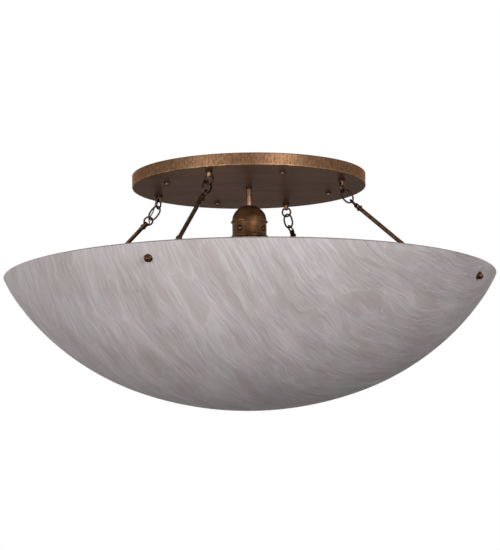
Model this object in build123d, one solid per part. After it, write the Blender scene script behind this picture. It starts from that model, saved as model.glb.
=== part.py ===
from build123d import *
import os
from math import cos, pi, radians, sin, tan

# Semi flush ceiling light.  A shallow pan covers the ceiling box, a short stem under it
# carries the lamp cluster, and a wide bowl hangs from the pan by four arms, each of which
# is a chain of three links and a rod.  Millimetres, +Z up.  The origin is on the ceiling
# and on the light's axis, where the bracket meets the ceiling box.

INCH = 25.4

# Pan and what holds it to the ceiling
PAN_D = 437.0
PAN_H = 23.0
PAN_SHEET = 1.2
PAN_CORNER = 1.0
BRACKET_T = 3.0
BRACKET_HUB_D = 150.0
BRACKET_ARM_W = 26.0
BOX_SLOT_SPACING = 3.5 * INCH
BOX_SLOT_W = 5.6
BOX_SLOT_L = 15.6
GROUND_HOLE_D = 4.0
STUD_CIRCLE_R = 162.7
STUD_D = 5.0
CAP_NUT_D = 9.6
CAP_NUT_H = 6.2
RING_PLATE_T = 2.0
RING_PLATE_IN = 150.0
RING_PLATE_OUT = 200.0

# Arms: compass angles from +X, and how far each chain's links are twisted
ARM_ANGLES = {"a": 157.2, "b": 247.2, "c": 67.2, "d": 337.2}
LINK_TWIST = {"a": 0.0, "b": 35.0, "c": 40.0, "d": 0.0}
RING_TWIST = {"a": -50.0, "b": 125.0, "c": 130.0, "d": 76.0}
STUD_ANGLES = [angle - 45.0 for angle in ARM_ANGLES.values()]

# Chain posts, and the eyes on the rods
POST_CIRCLE_R = 185.0
POST_D = 8.6
POST_L = 12.0
POST_FLANGE_D = 13.4
POST_FLANGE_T = 2.4
POST_SPIGOT_D = 6.0
LINK_HOLE_D = 5.1
LINK_HOLE_FLARE = 1.0
LINK_HOLE_DROP = 8.0
EYE_D = 9.0
EYE_NOSE = 4.6
EYE_NECK = 6.0
EYE_HOLE_D = 6.0
EYE_FLANGE_D = 12.0
EYE_FLANGE_T = 2.4
EYE_PLAY = 0.2

# Chain links: round wire, a round ring, an oval link and a second round ring
WIRE_D = 3.1
WIRE_SIDES = 6
LOOP_CORNERS = 12
LOOP_R = 8.45
OVAL_STRAIGHT = 12.0
LINK_GAP = 0.65
HOLE_LIFT = 0.5
UPPER_RING_SLOPE = 80.0
OVAL_SLOPE = 50.0
LOWER_RING_SLOPE = 44.0

# Rods and the feet that hold the bowl
ROD_D = 7.8
ROD_BORE = 5.4
ROD_SLOPE = 41.6
ROD_END = 139.0
COLLAR_D = 11.4
COLLAR_START = 134.5
COLLAR_END = 143.5
FOOT_W = 14.0
FOOT_T = 4.0
FOOT_STRAIGHT = 14.0
FOOT_SHOULDER = 11.0
FOOT_TOE = 13.0
FOOT_BEND = 3.5
PAD_T = 1.5
PAD_D = 18.0

# Lead on arm a: a thin flexible cable from the pan to the rod
LEAD_D = 2.0
LEAD_HOLE = (187.0, 11.8)
BUSH_NECK_R = 2.0
BUSH_HEAD_R = 3.2

# Bowl: the wall is four arcs that run into each other.  Each starts at a slope in degrees
# and has a radius in millimetres; the last one ends level on the axis.  The steps are
# lengths along the wall from the rim, where one band of facets meets the next.
BOWL_R = 18 * INCH
RIM_Z = -193.8
BOWL_WALL = 5.0
BOWL_DEPTH = 245.2
BOWL_SLOPES = [64.6, 54.5, 41.9, 20.0]
BOWL_RADII = [264.2, 443.1, 488.5]
RIM_BEVEL = 1.2
BOWL_SIDES = 64
BOWL_STEPS = [0, 56, 110, 164, 218, 274, 332, 394, 464]
KNOB_DROP = 28.0
KNOB_D = 13.6
KNOB_H = 8.6
KNOB_WASHER_T = 1.2
KNOB_STUD_D = 6.0
KNOB_HOLE_D = 8.0

# Stem and lamp cluster
STEM_D = 10.3
STEM_BORE = 7.0
STEM_END_Z = -172.0
STEM_NUT_D = 17.0
STEM_NUT_T = 4.0
DOME_TOP_Z = -56.2
DOME_H = 29.8
DOME_R = 32.3
DOME_STEPS = 4
BEAD_R = 34.8
BEAD_T = 3.6
BODY_R = 32.1
BODY_BOTTOM_Z = -117.6
LIP_T = 4.6
SCREW_Z = -103.0
SCREW_ANGLES = [56.0, 146.0, 236.0, 326.0]
SCREW_D = 4.0
SCREW_HEAD_D = 10.4
SCREW_HEAD_H = 3.6
HUB_R = 26.0
HUB_BOTTOM_Z = -164.0

# Lamps: each lies along its own line from the hub, a little under the horizontal
LAMP_ANGLES = [21.0, 111.0, 201.0, 291.0]
LAMP_TILT = 12.0
LAMP_Z = -143.0
NIPPLE_START = 16.0
NIPPLE_END = 40.0
NIPPLE_D = 10.0
HOLDER_START = 36.0
HOLDER_L = 35.5
HOLDER_R = 19.0
BULB_START = 46.0
BASE_D = 26.4
BASE_L = 26.0
GLOBE_SECTION = [
    (13.2, 0),
    (17.0, 16.0),
    (27.0, 36.0),
    (30.0, 51.0),
    (26.0, 67.0),
    (14.5, 78.5),
    (0, 82.0),
]


def turned(corners):
    """Solid turned about Z, from the (radius, height) corners of its half section."""
    outline = Polyline([(radius, 0, height) for radius, height in corners], close=True)
    return revolve(make_face(outline), Axis.Z)


def tube(outer_r, inner_r, low, high):
    """Round tube about Z from the height low to the height high."""
    return turned([(inner_r, low), (outer_r, low), (outer_r, high), (inner_r, high)])


def faceted(corners, sides):
    """Like turned, but with flat sides: the small turned pieces, which repeat often."""
    rings = []
    for radius, height in corners:
        angles = [2 * pi * side / sides for side in range(sides)]
        rings.append([Vector(radius * cos(a), radius * sin(a), height) for a in angles])
    faces = []
    for here, there in zip(rings, rings[1:] + rings[:1]):
        for side in range(sides):
            after = (side + 1) % sides
            loop = [here[side], here[after], there[after], there[side]]
            points = [q for q, before in zip(loop, loop[-1:] + loop) if (q - before).length > 1e-6]
            if len(points) > 2:
                faces.append(Face(Wire.make_polygon(points)))
    return Solid(Shell(faces))


def over_flats(radius, sides):
    """Corner radius of a regular polygon whose flats are radius away from the centre."""
    return radius / cos(pi / sides)


def faceted_tube(outer_r, inner_r, low, high, sides):
    """Faceted tube whose bore clears a round bar of inner_r."""
    bore = over_flats(inner_r, sides)
    return faceted([(bore, low), (outer_r, low), (outer_r, high), (bore, high)], sides)


def faceted_pin(radius, low, high, sides=10):
    """Faceted cutting pin about Z that clears a round bar of the same radius."""
    corner = over_flats(radius, sides)
    return faceted([(0, low), (corner, low), (corner, high), (0, high)], sides)


def hexagon_nut(across, bore_d, low, high):
    """Hexagon nut about Z, across its flats, with a plain bore."""
    blank = Pos(0, 0, low) * extrude(
        RegularPolygon(across / 2, 6, major_radius=False), high - low
    )
    return blank - faceted_pin(bore_d / 2, low - 1.0, high + 1.0, 12)


def at_angle(angle, shape):
    """The shape, drawn with +X pointing outwards, turned to a compass angle."""
    return Rot(0, 0, angle) * shape


def around(angles, shape):
    """One group of separate copies of the shape, one at each compass angle."""
    return Compound([solid for angle in angles for solid in at_angle(angle, shape).solids()])


def downhill(slope):
    """Unit vector outwards and down, at a slope in degrees under the horizontal."""
    return Vector(cos(radians(slope)), 0, -sin(radians(slope)))


def save(name, shape):
    """Write one named piece."""
    export_step(shape, f"parts/{name}.step")


# ---------------------------------------------------------------- ceiling side


def ceiling_bracket():
    """Flat steel plate with four arms, slotted for the ceiling box's two screws."""
    arm = Pos(STUD_CIRCLE_R / 2, 0, 0) * Rectangle(
        STUD_CIRCLE_R + BRACKET_ARM_W / 2, BRACKET_ARM_W
    )
    outline = Circle(BRACKET_HUB_D / 2)
    for angle in STUD_ANGLES:
        outline += Rot(0, 0, angle) * arm
        outline -= Rot(0, 0, angle) * Pos(STUD_CIRCLE_R, 0, 0) * RegularPolygon(
            over_flats(STUD_D / 2, 12), 12
        )
    outline -= RegularPolygon(over_flats(STEM_D / 2, 24), 24)
    for side in (-1, 1):
        slot = SlotOverall(BOX_SLOT_L, BOX_SLOT_W)
        outline -= Pos(side * BOX_SLOT_SPACING / 2, 0, 0) * slot
        outline -= Pos(0, side * BOX_SLOT_SPACING / 2, 0) * RegularPolygon(
            over_flats(GROUND_HOLE_D / 2, 12), 12
        )
    return extrude(outline, -BRACKET_T)


def ground_screw():
    """Hexagon washer head screw in the bracket, for the earth wire."""
    r = GROUND_HOLE_D / 2
    body = faceted(
        [
            (0, 0),
            (r, 0),
            (r, -BRACKET_T),
            (5.0, -BRACKET_T),
            (5.0, -BRACKET_T - 1.2),
            (0, -BRACKET_T - 1.2),
        ],
        12,
    )
    head = Pos(0, 0, -BRACKET_T - 4.0) * extrude(
        RegularPolygon(4.0, 6, major_radius=False), 3.0
    )
    return Pos(0, BOX_SLOT_SPACING / 2, 0) * (body + head)


def bracket_stud():
    """Threaded stud that comes down through the pan into its cap nut, with its jam nut."""
    rod_low = -PAN_H - CAP_NUT_H + 2.5
    r = STUD_D / 2
    rod = faceted([(0, rod_low), (r, rod_low), (r, 0), (0, 0)], 12)
    nut = Pos(0, 0, -BRACKET_T - 4.0) * extrude(RegularPolygon(4.0, 6, major_radius=False), 4.0)
    return Pos(STUD_CIRCLE_R, 0, 0) * (rod + nut)


def pan():
    """Shallow pressed pan with a bevelled corner and holes for all that passes through."""
    outer_r = PAN_D / 2
    inner_r = outer_r - PAN_SHEET
    shell = faceted(
        [
            (0, -PAN_H),
            (outer_r - PAN_CORNER, -PAN_H),
            (outer_r, -PAN_H + PAN_CORNER),
            (outer_r, 0),
            (inner_r, 0),
            (inner_r, -PAN_H + PAN_SHEET + PAN_CORNER),
            (inner_r - PAN_CORNER, -PAN_H + PAN_SHEET),
            (0, -PAN_H + PAN_SHEET),
        ],
        64,
    )
    low, high = -PAN_H - 1.0, -PAN_H + PAN_SHEET + 1.0
    stud_hole = Pos(STUD_CIRCLE_R, 0, 0) * faceted_pin(STUD_D / 2 + 0.3, low, high)
    post_hole = Pos(POST_CIRCLE_R, 0, 0) * faceted_pin(POST_SPIGOT_D / 2 + 0.2, low, high)
    lead_hole = Pos(*LEAD_HOLE, 0) * faceted_pin(BUSH_NECK_R, low, high)
    shell -= faceted_pin(STEM_D / 2 + 0.3, low, high, 24)
    for angle in STUD_ANGLES:
        shell -= at_angle(angle, stud_hole)
    for angle in ARM_ANGLES.values():
        shell -= at_angle(angle, post_hole)
    return shell - at_angle(ARM_ANGLES["a"], lead_hole)


def ring_plate():
    """Flat ring inside the pan, which spreads the pull of the posts and the studs."""
    floor = -PAN_H + PAN_SHEET
    plate = faceted_tube(RING_PLATE_OUT, RING_PLATE_IN, floor, floor + RING_PLATE_T, 48)
    low, high = floor - 1.0, floor + RING_PLATE_T + 1.0
    stud_hole = Pos(STUD_CIRCLE_R, 0, 0) * faceted_pin(STUD_D / 2 + 0.3, low, high)
    post_hole = Pos(POST_CIRCLE_R, 0, 0) * faceted_pin(POST_SPIGOT_D / 2 + 0.2, low, high)
    lead_hole = Pos(*LEAD_HOLE, 0) * faceted_pin(BUSH_HEAD_R + 0.4, low, high)
    for angle in STUD_ANGLES:
        plate -= at_angle(angle, stud_hole)
    for angle in ARM_ANGLES.values():
        plate -= at_angle(angle, post_hole)
    return plate - at_angle(ARM_ANGLES["a"], lead_hole)


def cap_nut():
    """Domed cap nut under the pan: a round skirt, a hexagon grip's width and a dome."""
    r = CAP_NUT_D / 2
    low = -PAN_H - CAP_NUT_H
    return Pos(STUD_CIRCLE_R, 0, 0) * faceted(
        [
            (0, low),
            (0.55 * r, low + 0.25 * r),
            (0.86 * r, low + 1.0 * r),
            (0.86 * r, -PAN_H - 1.2),
            (r, -PAN_H - 1.2),
            (r, -PAN_H),
            (STUD_D / 2, -PAN_H),
            (STUD_D / 2, low + 2.5),
            (0, low + 2.5),
        ],
        12,
    )


def cross_hole(bore_d, wall_d):
    """Hole along Y through a round post, flared at both mouths."""
    half = wall_d / 2
    narrow = over_flats(bore_d / 2, 10)
    wide = narrow + LINK_HOLE_FLARE + 1.0
    throat, end = half - LINK_HOLE_FLARE, half + 1.0
    profile = [(0, -end), (wide, -end), (narrow, -throat)]
    profile += [(narrow, throat), (wide, end), (0, end)]
    return Rot(90, 0, 0) * faceted(profile, 10)


def post():
    """Chain post: a threaded spigot and lock nut in the pan, a flange, and a drilled pin."""
    low = -PAN_H - POST_L
    spigot_top = -PAN_H + PAN_SHEET + RING_PLATE_T + 6.0
    pin = faceted(
        [
            (0, low),
            (POST_D / 2 - 1.0, low),
            (POST_D / 2, low + 1.0),
            (POST_D / 2, -PAN_H - POST_FLANGE_T),
            (POST_FLANGE_D / 2 - 0.5, -PAN_H - POST_FLANGE_T),
            (POST_FLANGE_D / 2, -PAN_H - POST_FLANGE_T / 2),
            (POST_FLANGE_D / 2, -PAN_H),
            (POST_SPIGOT_D / 2, -PAN_H),
            (POST_SPIGOT_D / 2, spigot_top),
            (0, spigot_top),
        ],
        10,
    )
    drill = Pos(0, 0, -PAN_H - LINK_HOLE_DROP) * cross_hole(LINK_HOLE_D, POST_D)
    return Pos(POST_CIRCLE_R, 0, 0) * (pin - drill)


def post_nut():
    """Lock nut on a chain post's spigot, on top of the ring plate."""
    floor = -PAN_H + PAN_SHEET + RING_PLATE_T
    return Pos(POST_CIRCLE_R, 0, 0) * hexagon_nut(10.0, POST_SPIGOT_D, floor, floor + 4.0)


# ---------------------------------------------------------------- chains

POST_HOLE = Vector(POST_CIRCLE_R, 0, -PAN_H - LINK_HOLE_DROP)
LOOP_L = 2 * LOOP_R
OVAL_L = LOOP_L + OVAL_STRAIGHT
PITCH_GAP = WIRE_D + LINK_GAP

RING_1_TOP = POST_HOLE - downhill(UPPER_RING_SLOPE) * HOLE_LIFT
RING_1_END = RING_1_TOP + downhill(UPPER_RING_SLOPE) * LOOP_L
OVAL_TOP = RING_1_END - downhill((UPPER_RING_SLOPE + OVAL_SLOPE) / 2) * PITCH_GAP
OVAL_END = OVAL_TOP + downhill(OVAL_SLOPE) * OVAL_L
RING_2_TOP = OVAL_END - downhill((OVAL_SLOPE + LOWER_RING_SLOPE) / 2) * PITCH_GAP
EYE = RING_2_TOP + downhill(LOWER_RING_SLOPE) * LOOP_L
ROD = downhill(ROD_SLOPE)


def loop_of_wire(straight):
    """Closed link of six-sided wire, flat in XY, from x = 0 to its full length.

    The wire is mitred at each corner of a round or oval outline, so every face is flat.
    """
    step = 2 * pi / LOOP_CORNERS
    mitre = 1 / cos(step / 2)
    sections = []
    for corner in range(LOOP_CORNERS):
        angle = (corner + 0.5) * step
        out = Vector(cos(angle), sin(angle), 0)
        centre = Vector(LOOP_R + (straight if out.X > 0 else 0), 0, 0)
        section = []
        for side in range(WIRE_SIDES):
            turn = 2 * pi * (side + 0.5) / WIRE_SIDES
            reach = (LOOP_R + WIRE_D / 2 * cos(turn)) * mitre
            section.append(centre + out * reach + Vector(0, 0, WIRE_D / 2 * sin(turn)))
        sections.append(section)
    faces = []
    for here in range(LOOP_CORNERS):
        for side in range(WIRE_SIDES):
            first, second = sections[here], sections[(here + 1) % LOOP_CORNERS]
            after = (side + 1) % WIRE_SIDES
            corners = [first[side], second[side], second[after], first[after]]
            faces.append(Face(Wire.make_polygon(corners)))
    return Solid(Shell(faces))


def link_normal(slope, twist):
    """Normal of a link's flat: across the arm, turned by twist about the chain."""
    lift = Vector(sin(radians(slope)), 0, cos(radians(slope)))
    return Vector(0, 1, 0) * cos(radians(twist)) + lift * sin(radians(twist))


def upper_ring():
    """Ring through the post's cross hole; its flat stands square to the arm."""
    normal = link_normal(UPPER_RING_SLOPE, 90.0)
    return Plane(RING_1_TOP, downhill(UPPER_RING_SLOPE), normal) * loop_of_wire(0)


def oval_link(arm):
    """Oval link between the two rings."""
    normal = link_normal(OVAL_SLOPE, LINK_TWIST[arm])
    return Plane(OVAL_TOP, downhill(OVAL_SLOPE), normal) * loop_of_wire(OVAL_STRAIGHT)


def eye_bore(arm):
    """Direction of the rod eye's cross hole: square to the rod, in the ring's flat."""
    return link_normal(LOWER_RING_SLOPE, RING_TWIST[arm]).cross(ROD).normalized()


def lower_ring(arm):
    """Ring through the rod's eye, placed so that its wire crosses the eye's hole."""
    normal = link_normal(LOWER_RING_SLOPE, RING_TWIST[arm])
    reach = eye_bore(arm).cross(normal)
    if reach.dot(ROD) < 0:
        reach = reach * -1
    top = EYE + ROD * EYE_PLAY - reach * LOOP_L
    return Plane(top, reach, normal) * loop_of_wire(0)


# ---------------------------------------------------------------- rods and feet


def rod_eye(arm):
    """Drilled eye with a flange, whose spigot is fixed in the top of the rod."""
    r = EYE_D / 2
    neck_end = EYE_NECK + EYE_FLANGE_T
    blank = faceted(
        [
            (0, -EYE_NOSE),
            (r - 1.2, -EYE_NOSE),
            (r, -EYE_NOSE + 1.2),
            (r, EYE_NECK),
            (EYE_FLANGE_D / 2 - 0.5, EYE_NECK),
            (EYE_FLANGE_D / 2, EYE_NECK + EYE_FLANGE_T / 2),
            (EYE_FLANGE_D / 2, neck_end),
            (ROD_BORE / 2, neck_end),
            (ROD_BORE / 2, neck_end + 8.0),
            (0, neck_end + 8.0),
        ],
        10,
    )
    drilled = blank - cross_hole(EYE_HOLE_D, EYE_D)
    across = ROD.cross(eye_bore(arm)) * -1
    return Plane(EYE, across, ROD) * drilled


def arm_rod(arm):
    """Straight tube from the eye's flange to the foot; rod a has a side hole for the lead."""
    pipe = faceted_tube(ROD_D / 2, ROD_BORE / 2, EYE_NECK + EYE_FLANGE_T, ROD_END, 12)
    pipe = Plane(EYE, (0, 1, 0), ROD) * pipe
    if arm == "a":
        inside, mouth = Vector(LEAD_ROUTE[-1]), Vector(LEAD_ROUTE[-2])
        entry = Plane(inside, z_dir=mouth - inside)
        pipe -= entry * faceted_pin(LEAD_D / 2 + 0.15, 0, 10.0)
    return pipe


def collar():
    """Ring that covers the joint between the rod and its foot."""
    inner_r = ROD_D / 2 + 0.02
    return Plane(EYE, (0, 1, 0), ROD) * faceted(
        [
            (inner_r, COLLAR_START),
            (COLLAR_D / 2 - 0.8, COLLAR_START),
            (COLLAR_D / 2, COLLAR_START + 1.6),
            (COLLAR_D / 2, COLLAR_END - 1.6),
            (COLLAR_D / 2 - 0.8, COLLAR_END),
            (inner_r, COLLAR_END),
        ],
        12,
    )


def wall_point(length, inset):
    """Corner (radius, height) of the bowl's wall at a length from the rim, moved inwards."""
    radius, height = BOWL_R, RIM_Z - RIM_BEVEL
    slopes = [radians(slope) for slope in BOWL_SLOPES] + [0.0]
    for number, (steep, flat) in enumerate(zip(slopes, slopes[1:])):
        closing = number == len(BOWL_RADII)
        bend = radius / sin(steep) if closing else BOWL_RADII[number]
        centre_r, centre_z = radius - bend * sin(steep), height + bend * cos(steep)
        slope = steep - length / bend
        if closing or slope >= flat:
            reach = bend - inset
            return centre_r + reach * sin(slope), centre_z - reach * cos(slope)
        length -= bend * (steep - flat)
        radius, height = centre_r + bend * sin(flat), centre_z - bend * cos(flat)


def bowl_wall(inset):
    """Corners of the bowl's wall from the rim to the axis."""
    return [wall_point(length, inset) for length in BOWL_STEPS] + [(0, RIM_Z - BOWL_DEPTH + inset)]


def bowl_facet():
    """Plane on the middle of one of the first facets, its Z square out of the bowl."""
    across = cos(pi / BOWL_SIDES)
    top, foot_of_facet = wall_point(BOWL_STEPS[0], 0), wall_point(BOWL_STEPS[1], 0)
    high = Vector(top[0] * across, 0, top[1])
    low = Vector(foot_of_facet[0] * across, 0, foot_of_facet[1])
    along = (low - high).normalized()
    seat = high + along * KNOB_DROP
    return seat, along, Plane(seat, (0, 1, 0), Vector(-along.Z, 0, along.X))


KNOB_SEAT, WALL_DOWN, KNOB_FRAME = bowl_facet()
WALL_OUT = KNOB_FRAME.z_dir


def foot():
    """Bent flat strap from the rod to the inside of the bowl, tapped for the knob's stud."""
    leg = KNOB_SEAT - WALL_OUT * (BOWL_WALL + PAD_T + FOOT_T / 2)
    shoulder = leg - WALL_DOWN * FOOT_SHOULDER
    bend = EYE + ROD * (ROD_END + FOOT_STRAIGHT)
    run = (shoulder - bend).normalized()
    line = [
        EYE + ROD * (COLLAR_END + 0.1),
        bend - ROD * FOOT_BEND,
        bend + run * FOOT_BEND,
        shoulder - run * FOOT_BEND,
        shoulder + WALL_DOWN * FOOT_BEND,
        leg + WALL_DOWN * FOOT_TOE,
    ]
    legs = [(after - here).normalized() for here, after in zip(line, line[1:])]
    over, under = [], []
    for corner, before, after in zip(line, legs[:1] + legs, legs + legs[-1:]):
        mitre = Vector(-(before + after).Z, 0, (before + after).X).normalized()
        reach = FOOT_T / 2 / mitre.dot(Vector(-after.Z, 0, after.X))
        over.append(corner + mitre * reach)
        under.append(corner - mitre * reach)
    edge = Face(Wire.make_polygon(over + under[::-1]))
    strap = extrude(edge, FOOT_W / 2, dir=(0, 1, 0), both=True)
    r, top = ROD_D / 2, ROD_END + 11.0
    spigot = faceted([(0, ROD_END), (r, ROD_END), (r, top), (0, top)], 12)
    spigot = Plane(EYE, (0, 1, 0), ROD) * spigot
    tapping = KNOB_FRAME * faceted_pin(KNOB_STUD_D / 2, -20.0, 20.0)
    return strap + spigot - tapping


def foot_pad():
    """Soft round pad between the foot and the bowl's inner face."""
    low = -BOWL_WALL - PAD_T
    return KNOB_FRAME * faceted_tube(PAD_D / 2, KNOB_HOLE_D / 2, low, -BOWL_WALL, 12)


def knob_washer():
    """Thin washer under the knob, on the bowl's outer face."""
    outer_r = KNOB_D / 2 + 0.6
    return KNOB_FRAME * faceted_tube(outer_r, KNOB_STUD_D / 2, 0, KNOB_WASHER_T, 12)


def knob():
    """Domed cap nut with its stud, which clamps the bowl's wall to the foot."""
    r = KNOB_D / 2
    seat = KNOB_WASHER_T
    stud_end = -BOWL_WALL - PAD_T - FOOT_T - 1.5
    return KNOB_FRAME * faceted(
        [
            (0, seat + KNOB_H),
            (0.42 * r, seat + KNOB_H - 0.5),
            (0.72 * r, seat + KNOB_H - 2.2),
            (0.84 * r, seat + KNOB_H - 4.4),
            (0.84 * r, seat + 2.6),
            (r, seat + 2.0),
            (r, seat),
            (KNOB_STUD_D / 2, seat),
            (KNOB_STUD_D / 2, stud_end),
            (0, stud_end),
        ],
        10,
    )


def bowl():
    """Moulded bowl of even wall with a bevelled rim, drilled for the four knobs."""
    outer, inner = bowl_wall(0), bowl_wall(BOWL_WALL)
    lip = [(inner[0][0] + RIM_BEVEL, RIM_Z), (outer[0][0] - RIM_BEVEL, RIM_Z)]
    shell = faceted(outer + inner[::-1] + lip, BOWL_SIDES)
    shell = Rot(0, 0, ARM_ANGLES["c"] - 180.0 / BOWL_SIDES) * shell
    hole = KNOB_FRAME * faceted_pin(KNOB_HOLE_D / 2, -3 * BOWL_WALL, 2 * BOWL_WALL)
    for angle in ARM_ANGLES.values():
        shell -= at_angle(angle, hole)
    return shell


# ---------------------------------------------------------------- the lead on arm a

# Route of the lead, as points (outwards, across the arm, up) from the pan to the rod
LEAD_ROUTE = [
    (LEAD_HOLE[0], LEAD_HOLE[1], -PAN_H + PAN_SHEET + 5.0),
    (LEAD_HOLE[0], LEAD_HOLE[1], -34.0),
    (191.1, 8.4, -46.0),
    (196.8, 5.9, -55.3),
    (203.2, 5.5, -63.5),
    (206.4, 2.3, -68.0),
    (207.8, -4.1, -70.2),
    (212.0, -8.0, -73.8),
    (219.9, -8.2, -80.4),
    (227.9, -6.0, -86.0),
    (230.3, -1.5, -89.6),
]


def lead_bush():
    """Rubber bush in the pan's floor, where the lead comes out beside post a."""
    sheet_top = -PAN_H + PAN_SHEET
    bore = over_flats(LEAD_D / 2, 12)
    body = faceted(
        [
            (bore, -PAN_H - 1.2),
            (BUSH_HEAD_R - 0.6, -PAN_H - 1.2),
            (BUSH_HEAD_R, -PAN_H),
            (BUSH_NECK_R, -PAN_H),
            (BUSH_NECK_R, sheet_top),
            (BUSH_HEAD_R, sheet_top),
            (BUSH_HEAD_R, sheet_top + 1.4),
            (bore, sheet_top + 1.4),
        ],
        12,
    )
    return Pos(*LEAD_HOLE, 0) * body


def lead():
    """Thin black cable, with each bend as wide as its two runs allow."""
    points = [Vector(point) for point in LEAD_ROUTE]
    radii = []
    for before, here, after in zip(points, points[1:], points[2:]):
        first, second = here - before, after - here
        shorter = min(first.length, second.length)
        radii.append(0.45 * shorter / tan(radians(first.get_angle(second)) / 2))
    path = FilletPolyline(*points, radius=radii)
    start = Plane(points[0], z_dir=points[1] - points[0])
    return sweep(start * RegularPolygon(LEAD_D / 2, WIRE_SIDES), path)


# ---------------------------------------------------------------- stem and lamp cluster


def stem():
    """Threaded pipe from the bracket, through the pan, into the hub of the cluster."""
    return tube(STEM_D / 2, STEM_BORE / 2, STEM_END_Z, -0.5)


def stem_nuts():
    """Lock nuts on the stem: one under the bracket, one on the pan's floor."""
    upper = hexagon_nut(STEM_NUT_D, STEM_D, -BRACKET_T - STEM_NUT_T, -BRACKET_T)
    floor = -PAN_H + PAN_SHEET
    lower = hexagon_nut(STEM_NUT_D, STEM_D, floor, floor + STEM_NUT_T)
    return Compound([*upper.solids(), *lower.solids()])


def dome():
    """Domed cover with a beaded skirt, threaded on the stem over the cluster's body."""
    top, skirt = DOME_TOP_Z, DOME_TOP_Z - DOME_H
    bore = over_flats(STEM_D / 2, 36)
    section = [(bore, top)]
    for step in range(1, DOME_STEPS + 1):
        angle = pi / 2 * (0.12 + 0.88 * step / DOME_STEPS)
        section.append((DOME_R * sin(angle), skirt + DOME_H * cos(angle)))
    section += [
        (BEAD_R, skirt - 0.4 * BEAD_T),
        (BEAD_R, skirt - 0.7 * BEAD_T),
        (BODY_R, skirt - BEAD_T),
        (bore, skirt - BEAD_T),
    ]
    return faceted(section, 36)


def cluster_body():
    """Short drum under the dome, with a turned-out lip at its foot."""
    top = DOME_TOP_Z - DOME_H - BEAD_T
    bore = over_flats(STEM_D / 2, 36)
    drum = faceted(
        [
            (bore, top),
            (BODY_R, top),
            (BODY_R, BODY_BOTTOM_Z + LIP_T),
            (BEAD_R, BODY_BOTTOM_Z + 0.6 * LIP_T),
            (BEAD_R, BODY_BOTTOM_Z),
            (bore, BODY_BOTTOM_Z),
        ],
        36,
    )
    for angle in SCREW_ANGLES:
        pin = faceted_pin(SCREW_D / 2, -6.0, 6.0)
        tapping = Pos(BODY_R, 0, SCREW_Z) * Rot(0, 90, 0) * pin
        drum -= at_angle(angle, tapping)
    return drum


def cluster_screw():
    """Round headed screw in the side of the cluster's body."""
    r = SCREW_HEAD_D / 2
    body = faceted(
        [
            (0, -6.0),
            (SCREW_D / 2, -6.0),
            (SCREW_D / 2, 0),
            (r, 0),
            (r, 0.4 * SCREW_HEAD_H),
            (0.66 * r, SCREW_HEAD_H),
            (0, SCREW_HEAD_H),
        ],
        10,
    )
    return Pos(BODY_R, 0, SCREW_Z) * Rot(0, 90, 0) * body


def lamp_hub():
    """Turned hub under the cluster's body, bored on its side for the four nipples."""
    bore = over_flats(STEM_D / 2, 24)
    hub = faceted(
        [
            (bore, BODY_BOTTOM_Z),
            (HUB_R, BODY_BOTTOM_Z),
            (HUB_R, HUB_BOTTOM_Z + 6.0),
            (HUB_R - 10.0, HUB_BOTTOM_Z),
            (bore, HUB_BOTTOM_Z),
        ],
        24,
    )
    bore = LAMP_FRAME * faceted_pin(NIPPLE_D / 2, NIPPLE_START, NIPPLE_END)
    for angle in LAMP_ANGLES:
        hub -= at_angle(angle, bore)
    return hub


def finial():
    """Round nut on the end of the stem, which holds the cluster together."""
    bore = over_flats(STEM_D / 2, 16)
    return faceted(
        [
            (0, STEM_END_Z - 4.0),
            (4.0, STEM_END_Z - 4.0),
            (8.0, STEM_END_Z),
            (9.0, HUB_BOTTOM_Z - 2.0),
            (9.0, HUB_BOTTOM_Z),
            (bore, HUB_BOTTOM_Z),
            (bore, STEM_END_Z),
            (0, STEM_END_Z),
        ],
        16,
    )


LAMP_FRAME = Plane(
    (0, 0, LAMP_Z), (0, 1, 0), (cos(radians(LAMP_TILT)), 0, -sin(radians(LAMP_TILT)))
)


def nipple():
    """Threaded nipple between the hub and a lamp holder."""
    return LAMP_FRAME * faceted_tube(NIPPLE_D / 2, 3.5, NIPPLE_START, NIPPLE_END, 10)


def lamp_holder():
    """Ceramic holder: a closed back with the nipple's bore, and a socket for the base."""
    mouth = HOLDER_START + HOLDER_L
    neck = over_flats(NIPPLE_D / 2, 12)
    socket = over_flats(BASE_D / 2 + 0.1, 12)
    return LAMP_FRAME * faceted(
        [
            (neck, HOLDER_START),
            (HOLDER_R - 6.0, HOLDER_START),
            (HOLDER_R, HOLDER_START + 8.0),
            (HOLDER_R, mouth),
            (socket, mouth),
            (socket, BULB_START - 1.0),
            (0, BULB_START - 1.0),
            (0, NIPPLE_END),
            (neck, NIPPLE_END),
        ],
        12,
    )


def bulb_base():
    """Screw base of a lamp bulb, with its end contact."""
    return LAMP_FRAME * faceted(
        [
            (0, BULB_START),
            (4.5, BULB_START),
            (BASE_D / 2 - 1.0, BULB_START + 5.0),
            (BASE_D / 2, BULB_START + 6.0),
            (BASE_D / 2, BULB_START + BASE_L),
            (0, BULB_START + BASE_L),
        ],
        12,
    )


def bulb_globe():
    """Envelope of a lamp bulb: a neck that swells to a round end."""
    start = BULB_START + BASE_L
    section = [(0, start)]
    section += [(radius, start + along) for radius, along in GLOBE_SECTION]
    return LAMP_FRAME * faceted(section, 12)


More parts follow.
